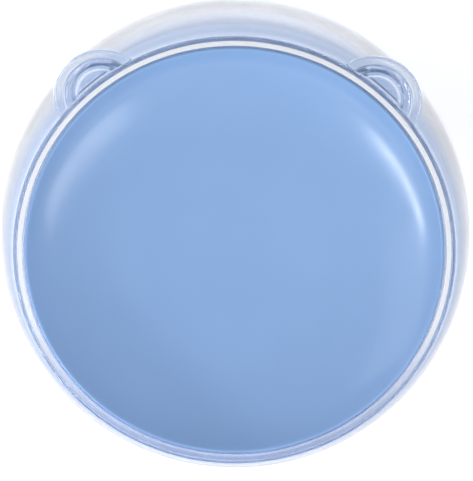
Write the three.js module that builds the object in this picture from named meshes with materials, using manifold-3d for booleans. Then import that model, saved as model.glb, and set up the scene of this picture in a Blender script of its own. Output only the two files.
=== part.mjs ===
// A shallow round bowl carried in a clear, dome-shaped stand. The stand's rim is tilted, so the
// bowl's far side is high, and two round ears are moulded on that high side. A soft ring grips
// the stand's lower edge. The bowl lifts out along the axis of the rim.
// Millimetres. +Z is up, the origin is the centre of the base on the table, and +Y points to
// the high, eared side.
import * as THREE from "three";
import { mergeVertices } from "three/addons/utils/BufferGeometryUtils.js";
import Module from "manifold-3d";

// Driving dimensions
const BASE_RADIUS = 80; // outside of the anti-slip ring
const RIM_TILT = THREE.MathUtils.degToRad(15);
const RIM_CENTRE = new THREE.Vector3(0, -7.2, 66); // on the lip's top
const RIM_RADIUS = 70.6; // outside of the lip
const CLEARANCE = 0.3; // between neighbouring pieces
const SEGMENTS = 72; // round the bowl, the stand and the ring

// Anti-slip ring: a U-shaped section that grips the wall's lower edge
const RING_HEIGHT = 5;
const RING_SKIN = 1;
const RING_FLOOR = 1.2;
const RING_CHAMFER = 0.6;

// Stand: a dome-shaped wall, a rounded lip and a sloping seat for the bowl
const WALL_THICKNESS = 2.4;
const WALL_BOTTOM = RING_FLOOR + CLEARANCE;
const WALL_RADIUS = BASE_RADIUS - RING_SKIN - CLEARANCE;
const WALL_STEPS = 10;
const DOME_HEIGHT = 114.5; // where the dome would close if the rim did not cut it
const DOME_POWER = 2.5; // 2 would be an ellipse; more is fuller in the shoulder
const LIP_ROUND = 1.2;
const LIP_ROUND_END = THREE.MathUtils.degToRad(80); // where the round meets the flat top
const LIP_SIDE = 3; // upright outer face of the lip
const LIP_CHAMFER = 0.6;
const GROOVE_RADIUS = 69.2; // a fine groove round the lip's top
const GROOVE_WIDTH = 0.5;
const GROOVE_FLOOR = 0.2;
const GROOVE_DEPTH = 0.4;
const SEAT_WIDTH = 3.4;
const SEAT_THICKNESS = 2.2;

// Bowl: three arcs that meet smoothly, each given by its slope and radius at its outer end
const BOWL_THICKNESS = 2;
const BOWL_RADIUS = 66.9;
const BOWL_BELOW_LIP = 1;
const BOWL_EDGE_ROUND = 0.6;
const FLOOR_SLOPE = THREE.MathUtils.degToRad(8);
const FLOOR_RADIUS = 38;
const FILLET_SLOPE = THREE.MathUtils.degToRad(29);
const FILLET_RADIUS = 58;
const WALL_SLOPE = THREE.MathUtils.degToRad(50);

// Ears: round dished plates that stand out from the lip and lean up from the rim's plane
const EAR_RADIUS = 14.7;
const EAR_AZIMUTH = THREE.MathUtils.degToRad(40.2); // to each side of +Y
const EAR_LEAN = THREE.MathUtils.degToRad(14);
const EAR_SEAT_RADIUS = 66.6; // of the ear's centre from the rim's axis
const EAR_SEAT_DEPTH = 1.3; // of the ear's centre below the lip's top
const EAR_ROOT = 1.2; // how far the ear runs into the wall
const EAR_EDGE_ROUND = 1; // half the thickness of the ear's edge
const EAR_DISH_RADIUS = 11.4; // inside this, the face steps down into the dish
const EAR_STEP = 0.5;
const EAR_FLOOR_RADIUS = 6.4;
const EAR_DISH_DEPTH = 2.8;
const EAR_SHELL = 2; // thickness of the dish
const EAR_RIDGE_RADIUS = 8;
const EAR_RIDGE_HEIGHT = 1;
const EAR_RIDGE_WIDTH = 0.7;
const EAR_SEGMENTS = 40;

const { sin, cos, exp } = Math;
const { smoothstep } = THREE.MathUtils;
const wasm = await Module();
wasm.setup();

// --- Helpers ----------------------------------------------------------------------------------

// Evenly spaced values from start to end, both included.
function spread(start, end, steps) {
  return Array.from({ length: steps + 1 }, (_, i) => start + ((end - start) * i) / steps);
}

// A round corner as points, from one angle to another.
function corner(centre, radius, fromAngle, toAngle, steps) {
  return spread(fromAngle, toAngle, steps).map(
    (angle) => new THREE.Vector2(centre.x + radius * cos(angle), centre.y + radius * sin(angle)),
  );
}

// A solid of revolution about +Z from a profile that runs counter-clockwise in (radius, height).
function revolve(profile, segments) {
  const geometry = new THREE.LatheGeometry(profile, segments);
  geometry.rotateX(Math.PI / 2);
  return geometry;
}

const rimFrame = new THREE.Matrix4().makeRotationX(RIM_TILT).setPosition(RIM_CENTRE);

// A point given about the rim's own axis, with height 0 at the lip's top, in the part's frame.
function fromRim(x, y, height) {
  return new THREE.Vector3(x, y, height).applyMatrix4(rimFrame);
}

function toSolid(geometry) {
  const bare = geometry.clone();
  bare.deleteAttribute("normal");
  bare.deleteAttribute("uv");
  const merged = mergeVertices(bare, 1e-4);
  return new wasm.Manifold(
    new wasm.Mesh({
      numProp: 3,
      vertProperties: merged.attributes.position.array,
      triVerts: new Uint32Array(merged.index.array),
    }),
  );
}

function fromSolid(solid) {
  const mesh = solid.getMesh();
  const geometry = new THREE.BufferGeometry();
  geometry.setAttribute("position", new THREE.BufferAttribute(mesh.vertProperties, 3));
  geometry.setIndex(new THREE.BufferAttribute(mesh.triVerts, 1));
  return geometry;
}

function named(name, geometry, material) {
  geometry.computeVertexNormals();
  const mesh = new THREE.Mesh(geometry, material);
  mesh.name = name;
  return mesh;
}

// --- The bowl's curve, which the stand's seat follows -------------------------------------------

// The bowl's inner surface ends where its rounded edge begins.
const edgeCentre = new THREE.Vector2(BOWL_RADIUS - BOWL_EDGE_ROUND, -BOWL_BELOW_LIP - BOWL_EDGE_ROUND);
const edgeStart = new THREE.Vector2(
  edgeCentre.x - BOWL_EDGE_ROUND * sin(WALL_SLOPE),
  edgeCentre.y + BOWL_EDGE_ROUND * cos(WALL_SLOPE),
);

// The arcs from the edge to the axis. On each, a point is centre + bend * (sin slope, -cos slope).
function bowlArcs() {
  const ends = [
    { slope: 0, radius: 0 },
    { slope: FLOOR_SLOPE, radius: FLOOR_RADIUS },
    { slope: FILLET_SLOPE, radius: FILLET_RADIUS },
    { slope: WALL_SLOPE, radius: edgeStart.x },
  ];
  const arcs = [];
  let outer = edgeStart;
  for (let i = ends.length - 1; i > 0; i--) {
    const from = ends[i - 1];
    const to = ends[i];
    const bend = (to.radius - from.radius) / (sin(to.slope) - sin(from.slope));
    const centre = new THREE.Vector2(
      outer.x - bend * sin(to.slope),
      outer.y + bend * cos(to.slope),
    );
    arcs.unshift({ from: from.slope, to: to.slope, bend, centre });
    outer = new THREE.Vector2(from.radius, centre.y - bend * cos(from.slope));
  }
  return arcs;
}

const arcs = bowlArcs();

// The point of the bowl's surface with this slope, moved outwards by an offset.
function bowlPoint(slope, offset) {
  const arc = arcs.find((candidate) => slope <= candidate.to) ?? arcs[arcs.length - 1];
  return new THREE.Vector2(
    arc.centre.x + (arc.bend + offset) * sin(slope),
    arc.centre.y - (arc.bend + offset) * cos(slope),
  );
}

// The slope at which an offset copy of the wall's arc reaches a radius.
function slopeAtRadius(radius, offset) {
  const wall = arcs[arcs.length - 1];
  return Math.asin((radius - wall.centre.x) / (wall.bend + offset));
}

// --- Pieces -----------------------------------------------------------------------------------

function innerBowl() {
  const outerEnd = slopeAtRadius(BOWL_RADIUS, BOWL_THICKNESS);
  const floor = spread(0, FLOOR_SLOPE, 2);
  const fillet = spread(FLOOR_SLOPE, FILLET_SLOPE, 5).slice(1);
  const inside = [...floor, ...fillet, ...spread(FILLET_SLOPE, WALL_SLOPE, 3).slice(1, -1)];
  const outside = [...floor, ...fillet, ...spread(FILLET_SLOPE, outerEnd, 2).slice(1)];
  const profile = [
    ...outside.map((slope) => bowlPoint(slope, BOWL_THICKNESS)),
    ...corner(edgeCentre, BOWL_EDGE_ROUND, 0, Math.PI / 2 + WALL_SLOPE, 4),
    ...inside.reverse().map((slope) => bowlPoint(slope, 0)),
  ];
  const material = new THREE.MeshStandardMaterial({ color: 0x8bacd9, roughness: 0.28, metalness: 0 });
  return named("inner_bowl", revolve(profile, SEGMENTS), material);
}

function antiSlipRing() {
  const inner = WALL_RADIUS - WALL_THICKNESS - CLEARANCE - RING_SKIN;
  const section = new THREE.Path();
  section.moveTo(inner + RING_CHAMFER, 0);
  section.lineTo(BASE_RADIUS - RING_CHAMFER, 0);
  section.lineTo(BASE_RADIUS, RING_CHAMFER);
  section.lineTo(BASE_RADIUS, RING_HEIGHT);
  section.lineTo(BASE_RADIUS - RING_SKIN, RING_HEIGHT);
  section.lineTo(BASE_RADIUS - RING_SKIN, RING_FLOOR);
  section.lineTo(inner + RING_SKIN, RING_FLOOR);
  section.lineTo(inner + RING_SKIN, RING_HEIGHT);
  section.lineTo(inner, RING_HEIGHT);
  section.lineTo(inner, RING_CHAMFER);
  section.closePath();
  const material = new THREE.MeshStandardMaterial({ color: 0xe9edf4, roughness: 0.55, metalness: 0 });
  return named("anti_slip_ring", revolve(section.getPoints(), SEGMENTS), material);
}

// The radius of the dome's outside at a height above the table.
function domeRadius(height) {
  return WALL_RADIUS * (1 - (height / DOME_HEIGHT) ** DOME_POWER) ** (1 / DOME_POWER);
}

// A point of the wall: rise runs from 0 at the lower edge to 1 under the lip, inset is the
// distance inside the wall's outer face, and turn goes round the rim.
function wallPoint(rise, inset, turn) {
  const top = fromRim(RIM_RADIUS * sin(turn), -RIM_RADIUS * cos(turn), -LIP_SIDE);
  const height = WALL_BOTTOM + rise * (top.z - WALL_BOTTOM);
  const reach = Math.hypot(top.x, top.y);
  const stretch = THREE.MathUtils.lerp(1, reach / domeRadius(top.z), rise * rise);
  const radius = domeRadius(height) * stretch - inset;
  return new THREE.Vector3((radius * top.x) / reach, (radius * top.y) / reach, height);
}

// The stand's closed section, counter-clockwise. Wall points have a rise and an inset, and the
// rim's points have a radius and a height in the rim's tilted frame.
function standSection() {
  const lipInside = BOWL_RADIUS + CLEARANCE;
  const seatTop = BOWL_THICKNESS + CLEARANCE;
  const seatUnder = seatTop + SEAT_THICKNESS;
  const seatOuter = slopeAtRadius(lipInside, seatTop);
  const seatInner = slopeAtRadius(lipInside - SEAT_WIDTH, seatTop);
  const underOuter = slopeAtRadius(RIM_RADIUS - WALL_THICKNESS, seatUnder);
  const roundCentre = new THREE.Vector2(RIM_RADIUS - LIP_ROUND, -LIP_ROUND);
  const rim = [
    new THREE.Vector2(RIM_RADIUS, -LIP_SIDE),
    ...corner(roundCentre, LIP_ROUND, 0, LIP_ROUND_END, 4),
    new THREE.Vector2(GROOVE_RADIUS + GROOVE_WIDTH / 2, 0),
    new THREE.Vector2(GROOVE_RADIUS + GROOVE_FLOOR / 2, -GROOVE_DEPTH),
    new THREE.Vector2(GROOVE_RADIUS - GROOVE_FLOOR / 2, -GROOVE_DEPTH),
    new THREE.Vector2(GROOVE_RADIUS - GROOVE_WIDTH / 2, 0),
    new THREE.Vector2(lipInside + LIP_CHAMFER, 0),
    new THREE.Vector2(lipInside, -LIP_CHAMFER),
    ...spread(seatOuter, seatInner, 2).map((slope) => bowlPoint(slope, seatTop)),
    ...spread(seatInner, underOuter, 2).map((slope) => bowlPoint(slope, seatUnder)),
  ];
  const outerRises = spread(0, 1, WALL_STEPS).slice(0, -1);
  const innerRises = outerRises.slice(0, -1).reverse();
  return [
    ...outerRises.map((rise) => ({ rise, inset: 0 })),
    ...rim.map((point) => ({ radius: point.x, height: point.y })),
    ...innerRises.map((rise) => ({ rise, inset: WALL_THICKNESS })),
    { rise: 0, inset: 0 },
  ];
}

// A closed surface from a section of wall points and rim points: a lathe grid whose points are
// moved to the dome and the tilted rim.
function roundRim(section) {
  const geometry = new THREE.LatheGeometry(
    section.map(() => new THREE.Vector2(1, 0)),
    SEGMENTS,
  );
  const position = geometry.getAttribute("position");
  for (let i = 0; i < position.count; i++) {
    const entry = section[i % section.length];
    const turn = (2 * Math.PI * (Math.floor(i / section.length) % SEGMENTS)) / SEGMENTS;
    const point =
      entry.rise === undefined
        ? fromRim(entry.radius * sin(turn), -entry.radius * cos(turn), entry.height)
        : wallPoint(entry.rise, entry.inset, turn);
    position.setXYZ(i, point.x, point.y, point.z);
  }
  return geometry;
}

// All that the wall encloses, from just inside its outer face, and the space above the lip.
function core() {
  const root = RIM_RADIUS - EAR_ROOT;
  const top = 2 * EAR_RADIUS;
  return roundRim([
    { rise: 0, inset: domeRadius(WALL_BOTTOM) },
    ...spread(0, 1, WALL_STEPS).map((rise) => ({ rise, inset: EAR_ROOT })),
    { radius: root, height: 0 },
    { radius: root, height: top },
    { radius: 0, height: top },
  ]);
}

// The ear's face and back as heights below its flat edge, at a radius from its centre.
function earFace(radius) {
  const dish = 1 - smoothstep(radius, EAR_FLOOR_RADIUS, EAR_DISH_RADIUS);
  const ridge = exp(-(((radius - EAR_RIDGE_RADIUS) / EAR_RIDGE_WIDTH) ** 2));
  return -EAR_STEP - EAR_DISH_DEPTH * dish + EAR_RIDGE_HEIGHT * ridge;
}

function earBack(radius) {
  const edge = 2 * EAR_EDGE_ROUND;
  const dish = 1 - smoothstep(radius - EAR_SHELL / 2, EAR_FLOOR_RADIUS, EAR_DISH_RADIUS);
  return -edge - (EAR_STEP + EAR_DISH_DEPTH + EAR_SHELL - edge) * dish;
}

// The round plate that an ear is cut from, about its own axis, with its dished face up.
function earPlate() {
  const edge = new THREE.Vector2(EAR_RADIUS - EAR_EDGE_ROUND, -EAR_EDGE_ROUND);
  const backRadii = [0, ...spread(EAR_FLOOR_RADIUS, edge.x, 6).slice(0, -1)];
  const faceRadii = [...spread(EAR_DISH_RADIUS, EAR_FLOOR_RADIUS, 9), 0];
  const profile = [
    ...backRadii.map((radius) => new THREE.Vector2(radius, earBack(radius))),
    ...corner(edge, EAR_EDGE_ROUND, -Math.PI / 2, Math.PI / 2, 6),
    new THREE.Vector2(EAR_DISH_RADIUS + EAR_STEP / 2, 0),
    ...faceRadii.map((radius) => new THREE.Vector2(radius, earFace(radius))),
  ];
  return revolve(profile, EAR_SEGMENTS);
}

// side is -1 for the ear at -X and 1 for the ear at +X.
function ear(side) {
  const chord = new THREE.Vector3(cos(EAR_AZIMUTH), -side * sin(EAR_AZIMUTH), 0);
  const outward = new THREE.Vector3(side * sin(EAR_AZIMUTH), cos(EAR_AZIMUTH), 0);
  const face = new THREE.Vector3(0, 0, cos(EAR_LEAN)).addScaledVector(outward, -sin(EAR_LEAN));
  const upward = new THREE.Vector3().crossVectors(face, chord.multiplyScalar(side));
  const place = new THREE.Matrix4().makeBasis(chord, upward, face);
  place.setPosition(outward.clone().multiplyScalar(EAR_SEAT_RADIUS).setZ(-EAR_SEAT_DEPTH));
  return toSolid(earPlate().applyMatrix4(place).applyMatrix4(rimFrame));
}

function clearStand() {
  const ears = ear(-1).add(ear(1)).subtract(toSolid(core()));
  const solid = toSolid(roundRim(standSection())).add(ears);
  const material = new THREE.MeshStandardMaterial({
    color: 0xdfe6f6,
    roughness: 0.06,
    metalness: 0,
    transparent: true,
    opacity: 0.35,
  });
  return named("clear_stand", fromSolid(solid), material);
}

// --- The assembly -----------------------------------------------------------------------------

const liftOut = new THREE.Group();
liftOut.rotation.x = RIM_TILT;
liftOut.position.copy(RIM_CENTRE);
liftOut.add(innerBowl());

const group = new THREE.Group();
group.add(clearStand(), antiSlipRing(), liftOut);

export default group;
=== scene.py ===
import math

import bmesh
import bpy
from mathutils import Matrix, Vector


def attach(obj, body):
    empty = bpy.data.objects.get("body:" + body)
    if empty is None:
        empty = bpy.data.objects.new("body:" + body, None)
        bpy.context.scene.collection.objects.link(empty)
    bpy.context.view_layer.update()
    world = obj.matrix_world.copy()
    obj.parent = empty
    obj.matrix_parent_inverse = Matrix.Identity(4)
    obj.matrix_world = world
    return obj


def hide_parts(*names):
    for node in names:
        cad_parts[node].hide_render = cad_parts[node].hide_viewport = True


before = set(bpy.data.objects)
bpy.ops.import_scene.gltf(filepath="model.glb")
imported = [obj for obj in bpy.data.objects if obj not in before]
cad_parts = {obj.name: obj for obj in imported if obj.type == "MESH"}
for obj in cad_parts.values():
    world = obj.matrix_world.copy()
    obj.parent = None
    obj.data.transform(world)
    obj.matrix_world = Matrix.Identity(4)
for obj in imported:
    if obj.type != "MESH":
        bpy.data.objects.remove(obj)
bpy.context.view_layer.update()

# Driving dimensions, in metres, the same as the CAD model's
BASE_RADIUS = 0.080
RIM_TILT = math.radians(15)
RIM_CENTRE = Vector((0, -0.0072, 0.066))
RIM_RADIUS = 0.0706
CLEARANCE = 0.0003
RING_HEIGHT = 0.005
RING_SKIN = 0.001
RING_FLOOR = 0.0012
RING_CHAMFER = 0.0006
WALL_THICKNESS = 0.0024
WALL_BOTTOM = RING_FLOOR + CLEARANCE
WALL_RADIUS = BASE_RADIUS - RING_SKIN - CLEARANCE
INNER_WALL_END = 0.9
DOME_HEIGHT = 0.1145
DOME_POWER = 2.5
LIP_ROUND = 0.0012
LIP_ROUND_END = math.radians(80)
LIP_SIDE = 0.003
LIP_CHAMFER = 0.0006
GROOVE_RADIUS = 0.0692
GROOVE_WIDTH = 0.0005
GROOVE_FLOOR = 0.0002
GROOVE_DEPTH = 0.0004
SEAT_WIDTH = 0.0034
SEAT_THICKNESS = 0.0022
BOWL_THICKNESS = 0.002
BOWL_RADIUS = 0.0669
BOWL_BELOW_LIP = 0.001
BOWL_EDGE_ROUND = 0.0006
FLOOR_SLOPE = math.radians(8)
FLOOR_RADIUS = 0.038
FILLET_SLOPE = math.radians(29)
FILLET_RADIUS = 0.058
WALL_SLOPE = math.radians(50)
EAR_RADIUS = 0.0147
EAR_AZIMUTH = math.radians(40.2)
EAR_LEAN = math.radians(14)
EAR_SEAT_RADIUS = 0.0666
EAR_SEAT_DEPTH = 0.0013
EAR_ROOT = 0.0012
EAR_EDGE_ROUND = 0.001
EAR_DISH_RADIUS = 0.0114
EAR_STEP = 0.0005
EAR_FLOOR_RADIUS = 0.0064
EAR_DISH_DEPTH = 0.0028
EAR_SHELL = 0.002
EAR_RIDGE_RADIUS = 0.008
EAR_RIDGE_HEIGHT = 0.001
EAR_RIDGE_WIDTH = 0.0007

# How finely the meshes are cut: steps round an axis, up the wall and round a small edge
SEGMENTS = 256
EAR_SEGMENTS = 128
WALL_STEPS = 40
ROUND_STEPS = 10
SHARP_ANGLE = math.radians(30)


def spread(start, end, steps):
    return [start + (end - start) * i / steps for i in range(steps + 1)]


def corner(centre, radius, from_angle, to_angle, steps):
    """Points of an arc round a centre, from one angle to another."""
    return [
        (centre[0] + radius * math.cos(a), centre[1] + radius * math.sin(a))
        for a in spread(from_angle, to_angle, steps)
    ]


# From the rim's own frame, with its centre and its plane, to the object's
RIM_FRAME = Matrix.Translation(RIM_CENTRE) @ Matrix.Rotation(RIM_TILT, 4, "X")


def from_rim(x, y, height):
    return RIM_FRAME @ Vector((x, y, height))


def link(name, mesh):
    piece = bpy.data.objects.new(name, mesh)
    bpy.context.scene.collection.objects.link(piece)
    return piece


def sweep(name, section, place, segments, closed):
    """A surface of revolution: the section's entries are placed at each turn and joined up."""
    bm = bmesh.new()
    rows = []
    for i in range(segments):
        turn = 2 * math.pi * i / segments
        rows.append([bm.verts.new(place(entry, turn)) for entry in section])
    count = len(section)
    for i in range(segments):
        here, there = rows[i], rows[(i + 1) % segments]
        for j in range(count if closed else count - 1):
            k = (j + 1) % count
            bm.faces.new((here[j], there[j], there[k], here[k]))
    bmesh.ops.remove_doubles(bm, verts=bm.verts, dist=1e-7)
    bmesh.ops.dissolve_degenerate(bm, edges=bm.edges, dist=1e-8)
    bmesh.ops.recalc_face_normals(bm, faces=bm.faces)
    mesh = bpy.data.meshes.new(name)
    bm.to_mesh(mesh)
    bm.free()
    return link(name, mesh)


def upright(entry, turn):
    return Vector((entry[0] * math.sin(turn), -entry[0] * math.cos(turn), entry[1]))


def on_rim(entry, turn):
    return from_rim(entry[0] * math.sin(turn), -entry[0] * math.cos(turn), entry[1])


# --- The bowl's curve ---
EDGE_CENTRE = (BOWL_RADIUS - BOWL_EDGE_ROUND, -BOWL_BELOW_LIP - BOWL_EDGE_ROUND)
EDGE_START = (
    EDGE_CENTRE[0] - BOWL_EDGE_ROUND * math.sin(WALL_SLOPE),
    EDGE_CENTRE[1] + BOWL_EDGE_ROUND * math.cos(WALL_SLOPE),
)


def bowl_arcs():
    """The bowl's arcs from the middle out: the slope each ends at, its radius and its centre."""
    ends = [(0, 0), (FLOOR_SLOPE, FLOOR_RADIUS)]
    ends += [(FILLET_SLOPE, FILLET_RADIUS), (WALL_SLOPE, EDGE_START[0])]
    arcs = []
    outer = EDGE_START
    for (from_slope, from_radius), (to_slope, to_radius) in reversed(list(zip(ends, ends[1:]))):
        bend = (to_radius - from_radius) / (math.sin(to_slope) - math.sin(from_slope))
        centre = (outer[0] - bend * math.sin(to_slope), outer[1] + bend * math.cos(to_slope))
        arcs.insert(0, (to_slope, bend, centre))
        outer = (from_radius, centre[1] - bend * math.cos(from_slope))
    return arcs


ARCS = bowl_arcs()


def bowl_point(slope, offset):
    """The point of the bowl's curve with this slope, this far outside its inner surface."""
    _, bend, centre = next((a for a in ARCS if slope <= a[0] + 1e-9), ARCS[-1])
    reach = bend + offset
    return (centre[0] + reach * math.sin(slope), centre[1] - reach * math.cos(slope))


def slope_at_radius(radius, offset):
    _, bend, centre = ARCS[-1]
    return math.asin((radius - centre[0]) / (bend + offset))


def make_bowl():
    outer_end = slope_at_radius(BOWL_RADIUS, BOWL_THICKNESS)
    rise = spread(0, FLOOR_SLOPE, 8) + spread(FLOOR_SLOPE, FILLET_SLOPE, 16)[1:]
    inside = rise + spread(FILLET_SLOPE, WALL_SLOPE, 8)[1:-1]
    outside = rise + spread(FILLET_SLOPE, outer_end, 8)[1:]
    section = [bowl_point(s, BOWL_THICKNESS) for s in outside]
    section += corner(EDGE_CENTRE, BOWL_EDGE_ROUND, 0, math.pi / 2 + WALL_SLOPE, ROUND_STEPS)
    section += [bowl_point(s, 0) for s in reversed(inside)]
    return sweep("blue_bowl", section, on_rim, SEGMENTS, False)


def dome_radius(height):
    return WALL_RADIUS * (1 - (height / DOME_HEIGHT) ** DOME_POWER) ** (1 / DOME_POWER)


def stand_point(entry, turn):
    """Wall entries are ("wall", rise, inset); the others are points of the tilted rim."""
    if entry[0] != "wall":
        return on_rim(entry, turn)
    _, rise, inset = entry
    top = on_rim((RIM_RADIUS, -LIP_SIDE), turn)
    height = WALL_BOTTOM + rise * (top.z - WALL_BOTTOM)
    reach = math.hypot(top.x, top.y)
    stretch = 1 + (reach / dome_radius(top.z) - 1) * rise * rise
    radius = dome_radius(height) * stretch - inset
    return Vector((radius * top.x / reach, radius * top.y / reach, height))


def stand_section():
    lip_inside = BOWL_RADIUS + CLEARANCE
    seat_top = BOWL_THICKNESS + CLEARANCE
    seat_under = seat_top + SEAT_THICKNESS
    seat_outer = slope_at_radius(lip_inside, seat_top)
    seat_inner = slope_at_radius(lip_inside - SEAT_WIDTH, seat_top)
    under_outer = slope_at_radius(RIM_RADIUS - WALL_THICKNESS, seat_under)
    rim = [(RIM_RADIUS, -LIP_SIDE)]
    rim += corner((RIM_RADIUS - LIP_ROUND, -LIP_ROUND), LIP_ROUND, 0, LIP_ROUND_END, ROUND_STEPS)
    rim += [
        (GROOVE_RADIUS + GROOVE_WIDTH / 2, 0), (GROOVE_RADIUS + GROOVE_FLOOR / 2, -GROOVE_DEPTH),
        (GROOVE_RADIUS - GROOVE_FLOOR / 2, -GROOVE_DEPTH), (GROOVE_RADIUS - GROOVE_WIDTH / 2, 0),
    ]
    rim += [(lip_inside + LIP_CHAMFER, 0), (lip_inside, -LIP_CHAMFER)]
    rim += [bowl_point(s, seat_top) for s in spread(seat_outer, seat_inner, 4)]
    rim += [bowl_point(s, seat_under) for s in spread(seat_inner, under_outer, 4)]
    outer = [("wall", r, 0) for r in spread(0, 1, WALL_STEPS)[:-1]]
    inner_rise = spread(0, INNER_WALL_END, round(WALL_STEPS * INNER_WALL_END))
    inner = [("wall", r, WALL_THICKNESS) for r in reversed(inner_rise)]
    return outer + rim + inner


def dish(radius):
    """How far the ear's plate has gone down into its dish: 0 at the edge, 1 on the floor."""
    t = (EAR_DISH_RADIUS - radius) / (EAR_DISH_RADIUS - EAR_FLOOR_RADIUS)
    t = min(max(t, 0), 1)
    return t * t * (3 - 2 * t)


def ear_face(radius):
    ridge = math.exp(-(((radius - EAR_RIDGE_RADIUS) / EAR_RIDGE_WIDTH) ** 2))
    return -EAR_STEP - EAR_DISH_DEPTH * dish(radius) + EAR_RIDGE_HEIGHT * ridge


def ear_back(radius):
    edge = 2 * EAR_EDGE_ROUND
    deep = EAR_STEP + EAR_DISH_DEPTH + EAR_SHELL - edge
    return -edge - deep * dish(radius - EAR_SHELL / 2)


def make_ear(side):
    edge = (EAR_RADIUS - EAR_EDGE_ROUND, -EAR_EDGE_ROUND)
    back = [(r, ear_back(r)) for r in [0] + spread(EAR_FLOOR_RADIUS, edge[0], 20)[:-1]]
    front = [(r, ear_face(r)) for r in spread(EAR_DISH_RADIUS, EAR_FLOOR_RADIUS, 36) + [0]]
    section = back + corner(edge, EAR_EDGE_ROUND, -math.pi / 2, math.pi / 2, 14)
    section += [(EAR_DISH_RADIUS + EAR_STEP / 2, 0)] + front
    outward = Vector((side * math.sin(EAR_AZIMUTH), math.cos(EAR_AZIMUTH), 0))
    chord = Vector((math.cos(EAR_AZIMUTH), -side * math.sin(EAR_AZIMUTH), 0)) * side
    face = Vector((0, 0, math.cos(EAR_LEAN))) - outward * math.sin(EAR_LEAN)
    upward = face.cross(chord)
    place = Matrix((chord, upward, face)).transposed().to_4x4()
    place.translation = outward * EAR_SEAT_RADIUS + Vector((0, 0, -EAR_SEAT_DEPTH))
    ear = sweep(f"ear{side}", section, upright, EAR_SEGMENTS, False)
    ear.data.transform(RIM_FRAME @ place)
    return ear


def boolean(piece, other, operation):
    modifier = piece.modifiers.new("join", "BOOLEAN")
    modifier.object = other
    modifier.operation = operation
    modifier.solver = "EXACT"
    depsgraph = bpy.context.evaluated_depsgraph_get()
    mesh = bpy.data.meshes.new_from_object(piece.evaluated_get(depsgraph))
    piece.modifiers.clear()
    piece.data = mesh
    bpy.data.objects.remove(other)


def make_stand():
    stand = sweep("clear_stand_shell", stand_section(), stand_point, SEGMENTS, True)
    root = RIM_RADIUS - EAR_ROOT
    core = [("wall", 0, dome_radius(WALL_BOTTOM))]
    core += [("wall", r, EAR_ROOT) for r in spread(0, 1, WALL_STEPS)]
    core += [(root, 0), (root, 2 * EAR_RADIUS), (0, 2 * EAR_RADIUS)]
    for side in (-1, 1):
        ear = make_ear(side)
        inside = sweep("inside", core, stand_point, SEGMENTS, False)
        boolean(ear, inside, "DIFFERENCE")
        boolean(stand, ear, "UNION")
    return stand


def make_ring():
    inner = WALL_RADIUS - WALL_THICKNESS - CLEARANCE - RING_SKIN
    section = [
        (inner + RING_CHAMFER, 0), (BASE_RADIUS - RING_CHAMFER, 0),
        (BASE_RADIUS, RING_CHAMFER), (BASE_RADIUS, RING_HEIGHT),
        (BASE_RADIUS - RING_SKIN, RING_HEIGHT), (BASE_RADIUS - RING_SKIN, RING_FLOOR),
        (inner + RING_SKIN, RING_FLOOR), (inner + RING_SKIN, RING_HEIGHT),
        (inner, RING_HEIGHT), (inner, RING_CHAMFER),
    ]
    return sweep("anti_slip_foot", section, upright, SEGMENTS, True)


def soften(piece):
    for polygon in piece.data.polygons:
        polygon.use_smooth = True
    piece.data.set_sharp_from_angle(angle=SHARP_ANGLE)


# --- Materials ---
BOWL_SHADES = [(0.35, (0.208, 0.350, 0.596)), (0.65, (0.219, 0.366, 0.616))]
BOWL_GLOW = 0.15
BOWL_GLOW_COLOUR = (0.3, 0.5, 0.95, 1)
PLASTIC_IOR = 1.5
# The clear plastic's tint, haze colour and haze share, by depth under the rim's plane, as shares
# of TINT_DEPTH: partly the plastic's own tint and haze, partly painted blue light from the bowl
# and painted shade under it, in the wall under the lip.
TINT_DEPTH = 0.06
CLEAR_TINT_AND_PAINTED_BOWL_LIGHT = [
    (0, (0.885, 0.92, 0.97)), (0.1, (0.81, 0.88, 0.965)),
    (0.4, (0.885, 0.905, 0.955)), (0.75, (0.93, 0.93, 0.955)),
]
HAZE_AND_PAINTED_BOWL_LIGHT_COLOURS = [
    (0, (0.62, 0.72, 0.90)), (0.05, (0.48, 0.61, 0.85)), (0.1, (0.33, 0.49, 0.79)),
    (0.22, (0.46, 0.57, 0.77)), (0.5, (0.79, 0.80, 0.88)), (0.8, (0.95, 0.95, 0.97)),
]
HAZE_AND_PAINTED_BOWL_LIGHT_SHARES = [(0, 0.04), (0.04, 0.06), (0.1, 0.32), (0.22, 0.28), (0.4, 0.1), (0.8, 0.07)]
CLEAR_SHADOW = (0.96, 0.97, 1.0, 1)
# Painted shade, a darker and bluer tint towards the low side: where it starts and ends, and how
# much there is of it
FRONT_PAINTED_SHADE = (0.62, 0.68, 0.84, 1)
FRONT_PAINTED_SHADE_START = 0.35 * RIM_RADIUS
FRONT_PAINTED_SHADE_END = 0.92 * RIM_RADIUS
FRONT_PAINTED_SHADE_SHARE = 0.75
# A painted highlight: the whiter inner edge of the lip, which fades between two places towards the
# low side
LIP_HIGHLIGHT_WHITE = (1.0, 1.0, 1.0, 1)
LIP_HIGHLIGHT_SHARE = 0.92
LIP_HIGHLIGHT_DEPTH = 0.0012
LIP_HIGHLIGHT_INSET = 0.0003
LIP_HIGHLIGHT_INNER_RADIUS = BOWL_RADIUS + CLEARANCE + LIP_HIGHLIGHT_INSET
LIP_HIGHLIGHT_INNER_SHARE = 0.2
LIP_HIGHLIGHT_OUTER_RADIUS = GROOVE_RADIUS - GROOVE_FLOOR
LIP_HIGHLIGHT_FADE_START = 0.3 * RIM_RADIUS
LIP_HIGHLIGHT_FADE_END = 0.95 * RIM_RADIUS
LIP_HIGHLIGHT_FRONT_SHARE = 0.2
SOFT_LINE = 0.0002
RUBBER_SHADES = [(0.35, (0.80, 0.82, 0.87)), (0.65, (0.86, 0.87, 0.91))]
RUBBER_CLEARNESS = 0.45
RUBBER_IOR = 1.4
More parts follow.
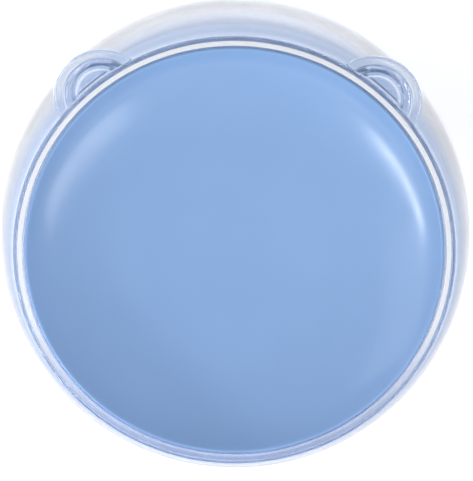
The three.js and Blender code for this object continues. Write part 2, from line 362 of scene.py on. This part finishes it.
RUBBER_SHADOW = (0.9, 0.92, 0.95, 1)


def new_material(name):
    material = bpy.data.materials.new(name)
    material.use_nodes = True
    tree = material.node_tree
    return material, tree, tree.nodes["Principled BSDF"], tree.nodes["Material Output"]


def node(tree, kind, inputs=(), **settings):
    """A shader node: settings are its own, and inputs are values or other nodes' outputs."""
    made = tree.nodes.new("ShaderNode" + kind)
    for name, value in settings.items():
        setattr(made, name, value)
    for name, value in dict(inputs).items():
        if isinstance(value, bpy.types.NodeSocket):
            tree.links.new(value, made.inputs[name])
        else:
            made.inputs[name].default_value = value
    return made


def remap(tree, value, from_low, from_high, to_low, to_high):
    inputs = {"Value": value, "From Min": from_low, "From Max": from_high}
    inputs |= {"To Min": to_low, "To Max": to_high}
    return node(tree, "MapRange", inputs).outputs["Result"]


def ramp(tree, value, stops):
    made = node(tree, "ValToRGB", {"Fac": value})
    elements = made.color_ramp.elements
    for i, (position, color) in enumerate(stops):
        stop = elements[i] if i < 2 else elements.new(position)
        stop.position = position
        stop.color = (*color, 1)
    return made.outputs["Color"]


def multiply(tree, a, b):
    return node(tree, "Math", {0: a, 1: b}, operation="MULTIPLY").outputs[0]


def mix_shaders(tree, share, first, second):
    return node(tree, "MixShader", {0: share, 1: first, 2: second}).outputs[0]


def mix_colours(tree, share, first, second):
    inputs = {"Factor": share, "A": first, "B": second}
    return node(tree, "Mix", inputs, data_type="RGBA").outputs[2]


def noise(tree, scale, detail):
    place = node(tree, "TexCoord").outputs["Object"]
    inputs = {"Vector": place, "Scale": scale, "Detail": detail}
    return node(tree, "TexNoise", inputs).outputs["Fac"]


def bump(tree, height, distance, strength):
    inputs = {"Height": height, "Distance": distance, "Strength": strength}
    return node(tree, "Bump", inputs).outputs[0]


def finish(tree, shader, colour, roughness, normal):
    tree.links.new(colour, shader.inputs["Base Color"])
    tree.links.new(roughness, shader.inputs["Roughness"])
    tree.links.new(normal, shader.inputs["Normal"])


def rim_place(tree):
    """Depth under the rim's plane, radius from its axis, and how far towards the low side."""
    place = node(tree, "TexCoord").outputs["Object"]
    turned = {"Vector": place, "Location": RIM_CENTRE, "Rotation": (RIM_TILT, 0, 0)}
    place = node(tree, "Mapping", turned, vector_type="TEXTURE").outputs[0]
    parts = node(tree, "SeparateXYZ", {0: place}).outputs
    flat = node(tree, "VectorMath", {0: place, 1: (1, 1, 0)}, operation="MULTIPLY").outputs[0]
    radius = node(tree, "VectorMath", {0: flat}, operation="LENGTH").outputs["Value"]
    return multiply(tree, parts["Z"], -1.0), radius, multiply(tree, parts["Y"], -1.0)


def light_through(tree, shader, tint):
    """Lets light through to what is under clear plastic, without the dark shadow of a solid."""
    is_shadow = node(tree, "LightPath").outputs["Is Shadow Ray"]
    clear = node(tree, "BsdfTransparent", {"Color": tint}).outputs[0]
    return mix_shaders(tree, is_shadow, shader, clear)


def blue_plastic():
    material, tree, shader, output = new_material("bowl_blue")
    shade = ramp(tree, noise(tree, scale=22, detail=3), BOWL_SHADES)
    gloss = remap(tree, noise(tree, scale=90, detail=4), 0.3, 0.7, 0.2, 0.26)
    grain = bump(tree, noise(tree, scale=900, detail=2), distance=0.0001, strength=0.04)
    finish(tree, shader, shade, gloss, grain)
    shader.inputs["IOR"].default_value = PLASTIC_IOR
    glow = node(tree, "BsdfTranslucent", {"Color": BOWL_GLOW_COLOUR}).outputs[0]
    tree.links.new(mix_shaders(tree, BOWL_GLOW, shader.outputs[0], glow), output.inputs["Surface"])
    return material


def clear_plastic():
    material, tree, shader, output = new_material("stand_clear")
    shader.inputs["IOR"].default_value = PLASTIC_IOR
    shader.inputs["Transmission Weight"].default_value = 1.0
    depth, radius, forward = rim_place(tree)
    # Near the rim these depth ramps hold painted blue light from the bowl and painted shade under
    # it.
    down = remap(tree, depth, 0, TINT_DEPTH, 0, 1)
    # Painted shade: the plastic's tint turns darker and bluer towards the low side.
    front_shade_share = remap(tree, forward, FRONT_PAINTED_SHADE_START, FRONT_PAINTED_SHADE_END, 0, FRONT_PAINTED_SHADE_SHARE)
    tint = mix_colours(tree, front_shade_share, ramp(tree, down, CLEAR_TINT_AND_PAINTED_BOWL_LIGHT), FRONT_PAINTED_SHADE)
    gloss = remap(tree, noise(tree, scale=60, detail=4), 0.35, 0.7, 0.02, 0.05)
    waves = bump(tree, noise(tree, scale=30, detail=1), distance=0.0004, strength=0.05)
    finish(tree, shader, tint, gloss, waves)
    # This mask places a painted highlight, a white band on the lip's inner edge that fades towards
    # the low side.
    edge = remap(tree, radius, LIP_HIGHLIGHT_OUTER_RADIUS, LIP_HIGHLIGHT_OUTER_RADIUS + SOFT_LINE, 1, 0)
    for bound in (
        (radius, LIP_HIGHLIGHT_INNER_RADIUS, LIP_HIGHLIGHT_INNER_RADIUS + SOFT_LINE, LIP_HIGHLIGHT_INNER_SHARE, 1),
        (depth, LIP_HIGHLIGHT_DEPTH, LIP_HIGHLIGHT_DEPTH + SOFT_LINE, 1, 0),
        (forward, LIP_HIGHLIGHT_FADE_START, LIP_HIGHLIGHT_FADE_END, 1, LIP_HIGHLIGHT_FRONT_SHARE),
    ):
        edge = multiply(tree, edge, remap(tree, *bound))
    # The haze colour holds painted bowl light and shade; the painted highlight is mixed over it on
    # the lip's edge.
    colour = mix_colours(tree, edge, ramp(tree, down, HAZE_AND_PAINTED_BOWL_LIGHT_COLOURS), LIP_HIGHLIGHT_WHITE)
    amount = ramp(tree, down, [(at, (share,) * 3) for at, share in HAZE_AND_PAINTED_BOWL_LIGHT_SHARES])
    haze_and_painted_highlight = {0: amount, 1: multiply(tree, edge, LIP_HIGHLIGHT_SHARE)}
    amount = node(tree, "Math", haze_and_painted_highlight, operation="MAXIMUM").outputs[0]
    front = node(tree, "BsdfDiffuse", {"Color": colour}).outputs[0]
    back = node(tree, "BsdfTranslucent", {"Color": colour}).outputs[0]
    haze = mix_shaders(tree, 0.5, front, back)
    body = mix_shaders(tree, amount, shader.outputs[0], haze)
    tree.links.new(light_through(tree, body, CLEAR_SHADOW), output.inputs["Surface"])
    return material


def clear_rubber():
    material, tree, shader, output = new_material("ring_clear")
    shade = ramp(tree, noise(tree, scale=40, detail=3), RUBBER_SHADES)
    gloss = remap(tree, noise(tree, scale=120, detail=3), 0.3, 0.7, 0.35, 0.5)
    grain = bump(tree, noise(tree, scale=700, detail=2), distance=0.0001, strength=0.1)
    finish(tree, shader, shade, gloss, grain)
    shader.inputs["IOR"].default_value = RUBBER_IOR
    shader.inputs["Transmission Weight"].default_value = RUBBER_CLEARNESS
    body = light_through(tree, shader.outputs[0], RUBBER_SHADOW)
    tree.links.new(body, output.inputs["Surface"])
    return material


bowl = make_bowl()
soften(bowl)
bowl.data.materials.append(blue_plastic())
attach(bowl, "bowl")
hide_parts("inner_bowl")

stand = make_stand()
soften(stand)
stand.data.materials.clear()
stand.data.materials.append(clear_plastic())
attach(stand, "stand")
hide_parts("clear_stand")

ring = make_ring()
soften(ring)
ring.data.materials.append(clear_rubber())
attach(ring, "stand")
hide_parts("anti_slip_ring")

# --- Stage ---
FLOOR_HALF = 3
FLOOR_DROP = 0.0002
FLOOR_COLOUR = (0.98, 0.98, 0.98, 1)
WORLD_LIGHT = 0.95
AIM = Vector((0, 0, 0.05))

floor_mesh = bpy.data.meshes.new("floor")
corners = [(x * FLOOR_HALF, y * FLOOR_HALF, 0) for x, y in ((-1, -1), (1, -1), (1, 1), (-1, 1))]
floor_mesh.from_pydata(corners, [], [(0, 1, 2, 3)])
floor = link("floor", floor_mesh)
floor.location.z = -FLOOR_DROP
floor_material, _, floor_shader, _ = new_material("floor_paper")
floor_shader.inputs["Base Color"].default_value = FLOOR_COLOUR
floor_shader.inputs["Roughness"].default_value = 0.9
floor.data.materials.append(floor_material)

world = bpy.data.worlds.new("studio")
world.use_nodes = True
background = world.node_tree.nodes["Background"]
background.inputs["Color"].default_value = (1, 1, 1, 1)
background.inputs["Strength"].default_value = WORLD_LIGHT
bpy.context.scene.world = world


def softbox(name, place, width, height, power):
    light = bpy.data.lights.new(name, "AREA")
    light.shape = "RECTANGLE"
    light.size = width
    light.size_y = height
    light.energy = power
    lamp = link(name, light)
    lamp.location = place
    lamp.rotation_euler = (AIM - Vector(place)).to_track_quat("-Z", "Y").to_euler()


softbox("softbox_left", (-0.62, -0.60, 0.30), 0.46, 0.1, 3.2)
softbox("softbox_right", (0.57, -0.64, 0.30), 0.55, 0.3, 2.4)
softbox("softbox_key", (-0.85, -0.15, 0.6), 0.9, 0.7, 2.6)

# --- Camera ---
CAMERA_HEIGHT = 0.9
METRES_PER_PIXEL = 0.000343  # on the table
PIXELS_HIGH = 481
SENSOR_WIDTH = 36
CAMERA_ROLL = math.radians(1.35)
LIGHT_BOUNCES = 32
camera_data = bpy.data.cameras.new("camera")
camera_data.sensor_width = SENSOR_WIDTH
camera_data.lens = SENSOR_WIDTH * CAMERA_HEIGHT / (PIXELS_HIGH * METRES_PER_PIXEL)
camera = link("camera", camera_data)
camera.location = (0.0006, -0.0025, CAMERA_HEIGHT)
camera.rotation_euler = (0, 0, CAMERA_ROLL)
scene = bpy.context.scene
scene.camera = camera
scene.view_settings.view_transform = "Standard"
scene.cycles.max_bounces = LIGHT_BOUNCES
scene.cycles.transmission_bounces = LIGHT_BOUNCES
scene.cycles.transparent_max_bounces = LIGHT_BOUNCES
